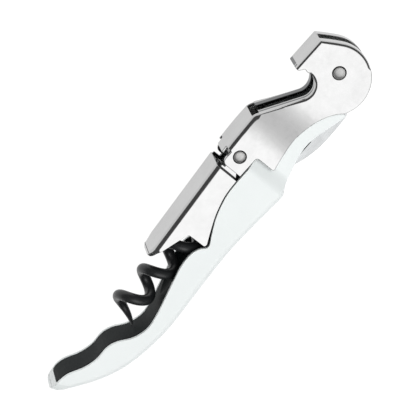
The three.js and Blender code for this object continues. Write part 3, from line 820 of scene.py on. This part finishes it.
def rivet_tree():
    tree = Tree("two_headed_rivet", {
        "Half span": ("NodeSocketFloat", 4.8), "Shank radius": ("NodeSocketFloat", 1.4),
        "Shank half length": ("NodeSocketFloat", 4.3), "Material": ("NodeSocketMaterial", None),
    })
    given = tree.enter.outputs
    low = tree.node("ShaderNodeCombineXYZ", {"Z": tree.math("MULTIPLY", given["Half span"], -1.0)})
    high = tree.node("ShaderNodeCombineXYZ", {"Z": given["Half span"]})
    ends = tree.node("GeometryNodeMeshLine",
                     {"Count": 2, "Start Location": low.outputs[0], "Offset": high.outputs[0]},
                     mode="END_POINTS")
    index = tree.node("GeometryNodeInputIndex").outputs[0]
    over = tree.math("MULTIPLY", tree.math("SUBTRACT", 1.0, index), math.pi)
    turned = tree.node("ShaderNodeCombineXYZ", {"X": over})
    heads = tree.node("GeometryNodeInstanceOnPoints",
                      {"Points": ends.outputs[0], "Instance": given["Geometry"],
                       "Rotation": turned.outputs[0]})
    depth = tree.math("MULTIPLY", given["Shank half length"], 2.0)
    shank = tree.node("GeometryNodeMeshCylinder",
                      {"Vertices": 48, "Radius": given["Shank radius"], "Depth": depth})
    joined = tree.node("GeometryNodeJoinGeometry")
    for part in (shank.outputs[0], heads.outputs[0]):
        tree.group.links.new(part, joined.inputs[0])
    real = tree.node("GeometryNodeRealizeInstances", {"Geometry": joined.outputs[0]})
    painted = tree.node("GeometryNodeSetMaterial",
                        {"Geometry": real.outputs[0], "Material": given["Material"]})
    return tree.finish(painted.outputs[0])


# %% Rivets
RIVETS = rivet_tree()
for name, body, node, at, radius, shank, wall, proud in (
    ("head_rivet_formed", "handle", "head_rivet", HEAD_RIVET, 1.66, 1.4, LEVER_HEAD, 0.14),
    ("knuckle_rivet_formed", "lever", "knuckle_rivet", KNUCKLE, 1.6, 1.25, WIDE, -0.06),
):
    rivet = grow(RIVETS, name, {"Half span": float(wall), "Shank radius": shank,
                                "Shank half length": wall - 0.45, "Material": RIVET_STEEL},
                 rivet_head_mesh(radius, proud, 0.5))
    rivet.data.transform(Matrix.Translation((at[0], at[1], 0)))
    place(rivet, name, body, RIVET_STEEL, "pin_steel", node)

# %% [markdown]
# ## The foil knife
# The small blade lies folded in the back of the head. Its edge is ground with a row of fine
# scallops: Geometry Nodes repeat one round grinding wheel along the edge, and the row is cut away.

# %% Foil knife
BLADE_HALF = 0.6
BLADE_BORE = 1.48
GROOVE_DEPTH = 0.3
EDGE_FROM, EDGE_TO = (-9.0, -4.4), (-28.2, -6.6)


def wheel_row_tree():
    tree = Tree("grinding_wheels", {
        "Wheels": ("NodeSocketInt", 16), "Wheel radius": ("NodeSocketFloat", 0.62),
        "Start": ("NodeSocketVector", (*EDGE_FROM, 0)), "End": ("NodeSocketVector", (*EDGE_TO, 0)),
        "Material": ("NodeSocketMaterial", None),
    })
    given = tree.enter.outputs
    row = tree.node("GeometryNodeMeshLine",
                    {"Count": given["Wheels"], "Start Location": given["Start"],
                     "Offset": given["End"]}, mode="END_POINTS")
    wheel = tree.node("GeometryNodeMeshCylinder",
                      {"Vertices": 20, "Radius": given["Wheel radius"], "Depth": 6.0})
    wheels = tree.node("GeometryNodeInstanceOnPoints",
                       {"Points": row.outputs[0], "Instance": wheel.outputs[0]})
    real = tree.node("GeometryNodeRealizeInstances", {"Geometry": wheels.outputs[0]})
    painted = tree.node("GeometryNodeSetMaterial",
                        {"Geometry": real.outputs[0], "Material": given["Material"]})
    return tree.finish(painted.outputs[0])


def knife_outline():
    line = arc(HEAD_RIVET, 3.9, 1.1 * math.pi, -0.65 * math.pi, 40)
    line += [(-4.9, -6.5), *quadratic((-4.9, -6.5), (-5.6, -10.4), (-8.4, -11.0), 8)]
    line += quadratic((-8.4, -11.0), (-13.0, -11.35), (-17.0, -11.25), 6)
    line += quadratic((-17.0, -11.25), (-24.0, -11.0), (-30.4, -7.2), 10)
    line += [EDGE_TO, EDGE_FROM, (-6.0, -3.6)]
    return line


knife = prism(knife_outline(), BLADE_HALF)
wheels = grow(wheel_row_tree(), "wheels", {"Material": BLADE_STEEL})
nail_groove = block(-24.2, -19.0, -8.42, -8.02, BLADE_HALF - GROOVE_DEPTH, THROUGH)
cut(knife, wheels, drill(HEAD_RIVET, BLADE_BORE, -THROUGH, THROUGH), nail_groove)
ease_edges(knife, 0.07, 2, 50.0)
place(knife, "foil_knife_ground", "knife", BLADE_STEEL, "blade_steel", "foil_knife")

# %% [markdown]
# ## Pieces kept from the frame
# The liner, the washers, the spacer and the worm's pin already have their shape in the frame, so
# they only get their finish.

# %% Finishes on frame pieces
for node, finish in (
    ("grip_liner", LINER_PLASTIC), ("worm_pin", RIVET_STEEL), ("knuckle_spacer", RIVET_STEEL),
    ("knife_washer_left", NYLON), ("knife_washer_right", NYLON),
    ("worm_washer_left", NYLON), ("worm_washer_right", NYLON),
):
    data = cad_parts[node].data
    data.materials.clear()
    data.materials.append(finish)
    print(node, "gets", finish.name)

# %% [markdown]
# ## Floor, light and camera
# A pale table that gives light itself, one bright patch in a dark room, and a soft light above that
# no reflection shows. Bright plating shows what surrounds it, so in the camera's view the walls
# mirror the patch, the webs mirror the table and the bends between them mirror the dark room.

# %% Floor
TABLE_HALF = 1.2
TABLE_GAP = 0.0002
bm = bmesh.new()
bmesh.ops.create_grid(bm, x_segments=1, y_segments=1, size=TABLE_HALF)
floor = object_of(bm, "table")
floor.location.z = -TABLE_GAP
table_finish, _, _, shader = new_material("pale_table")
shader.inputs["Base Color"].default_value = (0.12, 0.12, 0.12, 1)
shader.inputs["Roughness"].default_value = 0.9
shader.inputs["Emission Color"].default_value = (1, 1, 1, 1)
shader.inputs["Emission Strength"].default_value = 0.97
floor.data.materials.append(table_finish)

# %% Light
LIGHT_FROM = Vector((-0.22, -0.34, 0.91)).normalized()
BRIGHT, GREY, DARK = 1.92, 0.76, 0.10
PATCH_OUTSIDE, PATCH_INSIDE = math.radians(32), math.radians(23)
SHADE_FROM, SHADE_TO = -0.06, 0.07
FILL_AT = Vector((0.3, 0.05, 0.85))
world = bpy.data.worlds.new("studio")
bpy.context.scene.world = world
world.use_nodes = True
nodes, links = world.node_tree.nodes, world.node_tree.links
direction = nodes.new("ShaderNodeTexCoord").outputs["Generated"]
facing = nodes.new("ShaderNodeVectorMath")
facing.operation = "DOT_PRODUCT"
facing.inputs[1].default_value = LIGHT_FROM
links.new(direction, facing.inputs[0])
across = nodes.new("ShaderNodeSeparateXYZ")
links.new(direction, across.inputs[0])
patch = map_range(nodes, links, facing.outputs["Value"],
                  math.cos(PATCH_OUTSIDE), math.cos(PATCH_INSIDE))
shade = map_range(nodes, links, across.outputs["X"], SHADE_FROM, SHADE_TO, BRIGHT, GREY)
strength = math_node(nodes, links, "MULTIPLY_ADD", patch, shade, DARK)
links.new(strength, nodes["Background"].inputs["Strength"])
nodes["Background"].inputs["Color"].default_value = (1, 1, 1, 1)

soft = bpy.data.lights.new("soft_fill", "AREA")
soft.shape = "DISK"
soft.size = 0.9
soft.energy = 5.6
soft_light = bpy.data.objects.new("soft_fill", soft)
bpy.context.scene.collection.objects.link(soft_light)
soft_light.location = FILL_AT
soft_light.rotation_euler = (-FILL_AT).to_track_quat("-Z", "Y").to_euler()
soft_light.visible_glossy = False

# %% Camera
VIEW_FROM = PIVOT + Vector((75.6176, 260.4418, 713.698)) * MM
right = Vector((0.66021, -0.73549, 0.15222))
up = Vector((0.73324, 0.58726, -0.34275))
back = Vector((0.1627, 0.3379, 0.92700))
camera_data = bpy.data.cameras.new("camera")
camera_data.sensor_width = 36.0
camera_data.lens = 255.5
camera = bpy.data.objects.new("camera", camera_data)
bpy.context.scene.collection.objects.link(camera)
turn = Matrix((right, up, back)).transposed().to_4x4()
camera.matrix_world = Matrix.Translation(VIEW_FROM) @ turn
bpy.context.scene.camera = camera
bpy.context.scene.view_settings.view_transform = "Standard"
